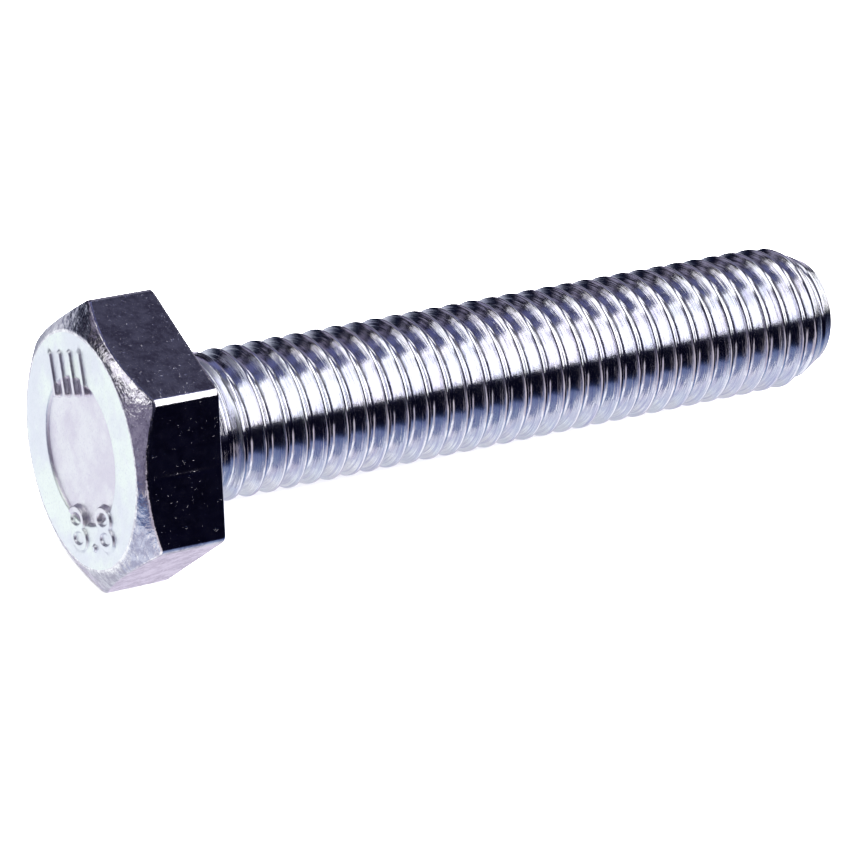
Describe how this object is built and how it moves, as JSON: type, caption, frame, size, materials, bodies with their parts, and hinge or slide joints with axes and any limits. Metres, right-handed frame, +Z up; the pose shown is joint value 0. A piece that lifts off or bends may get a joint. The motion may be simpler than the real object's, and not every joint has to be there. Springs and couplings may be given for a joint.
{
  "type": "hex bolt",
  "caption": "Hexagon head bolt threaded to the head, with a washer face, a shallow recess with raised marks, and a chamfered point.",
  "frame": {"origin": "centre of the bearing face under the head, on the screw's axis", "axes": "+X along the screw's axis from the head to the point; +Z up, with one hexagon flat facing straight down; +Y towards a hexagon corner"},
  "size_m": [0.0561, 0.0192, 0.0168],
  "materials": {
    "zinc_plate": "bright zinc plating with a clear, faintly blue passivation on forged and rolled steel"
  },
  "bodies": {
    "root": {"hex_screw": "zinc_plate"}
  },
  "joints": []
}
